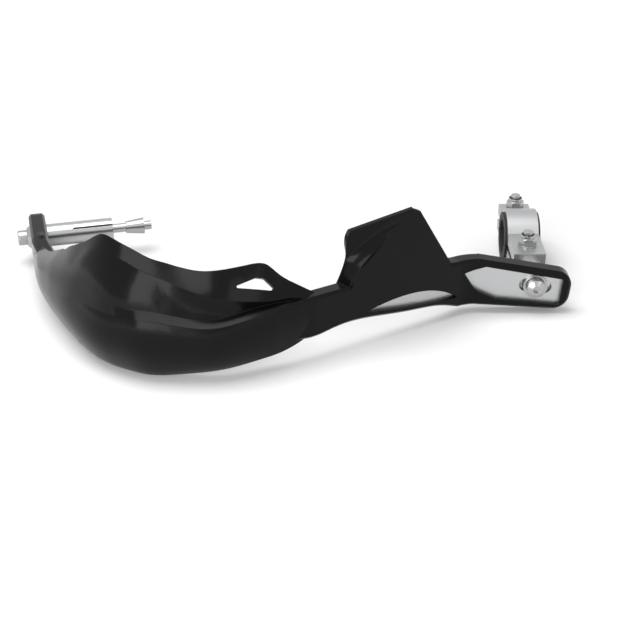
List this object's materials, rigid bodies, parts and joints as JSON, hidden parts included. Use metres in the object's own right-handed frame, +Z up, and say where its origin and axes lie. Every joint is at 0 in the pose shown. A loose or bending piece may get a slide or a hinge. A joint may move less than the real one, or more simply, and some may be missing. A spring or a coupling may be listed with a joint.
{
  "type": "motorcycle hand guard",
  "caption": "Right-hand motorcycle hand guard: curved plastic shield with folded fins over a flat metal core bar, with its bar clamp and bar-end expander bolt.",
  "frame": {"origin": "on the handlebar's axis, in the middle of the bar clamp", "axes": "+X along the handlebar towards the middle of the motorcycle, +Y towards the rider, +Z up"},
  "size_m": [0.3538, 0.1957, 0.0811],
  "materials": {
    "black_plastic": "satin gloss, moulded",
    "core_aluminium": "brushed along its length",
    "clamp_aluminium": "satin cast",
    "turned_aluminium": "turned",
    "zinc_steel": "bright zinc plated",
    "liner_rubber": "matt",
    "black_nylon": "matt"
  },
  "bodies": {
    "root": {"guard_shell": "black_plastic", "core_bar": "core_aluminium", "clamp_body": "clamp_aluminium", "clamp_cap": "clamp_aluminium", "liner_upper": "liner_rubber", "liner_lower": "liner_rubber", "clamp_bolt_front": "zinc_steel", "clamp_bolt_rear": "zinc_steel", "head_washer_front": "zinc_steel", "head_washer_rear": "zinc_steel", "nut_washer_front": "zinc_steel", "nut_washer_rear": "zinc_steel", "lock_nut_front": "zinc_steel", "lock_nut_rear": "zinc_steel", "nylon_ring_front": "black_nylon", "nylon_ring_rear": "black_nylon", "guard_screw": "zinc_steel", "spring_washer": "zinc_steel", "guard_washer": "zinc_steel", "bar_end_screw": "zinc_steel", "bar_end_cup": "zinc_steel", "bar_end_collar": "zinc_steel", "expander_sleeve": "turned_aluminium", "expander_cone": "zinc_steel"}
  },
  "joints": []
}
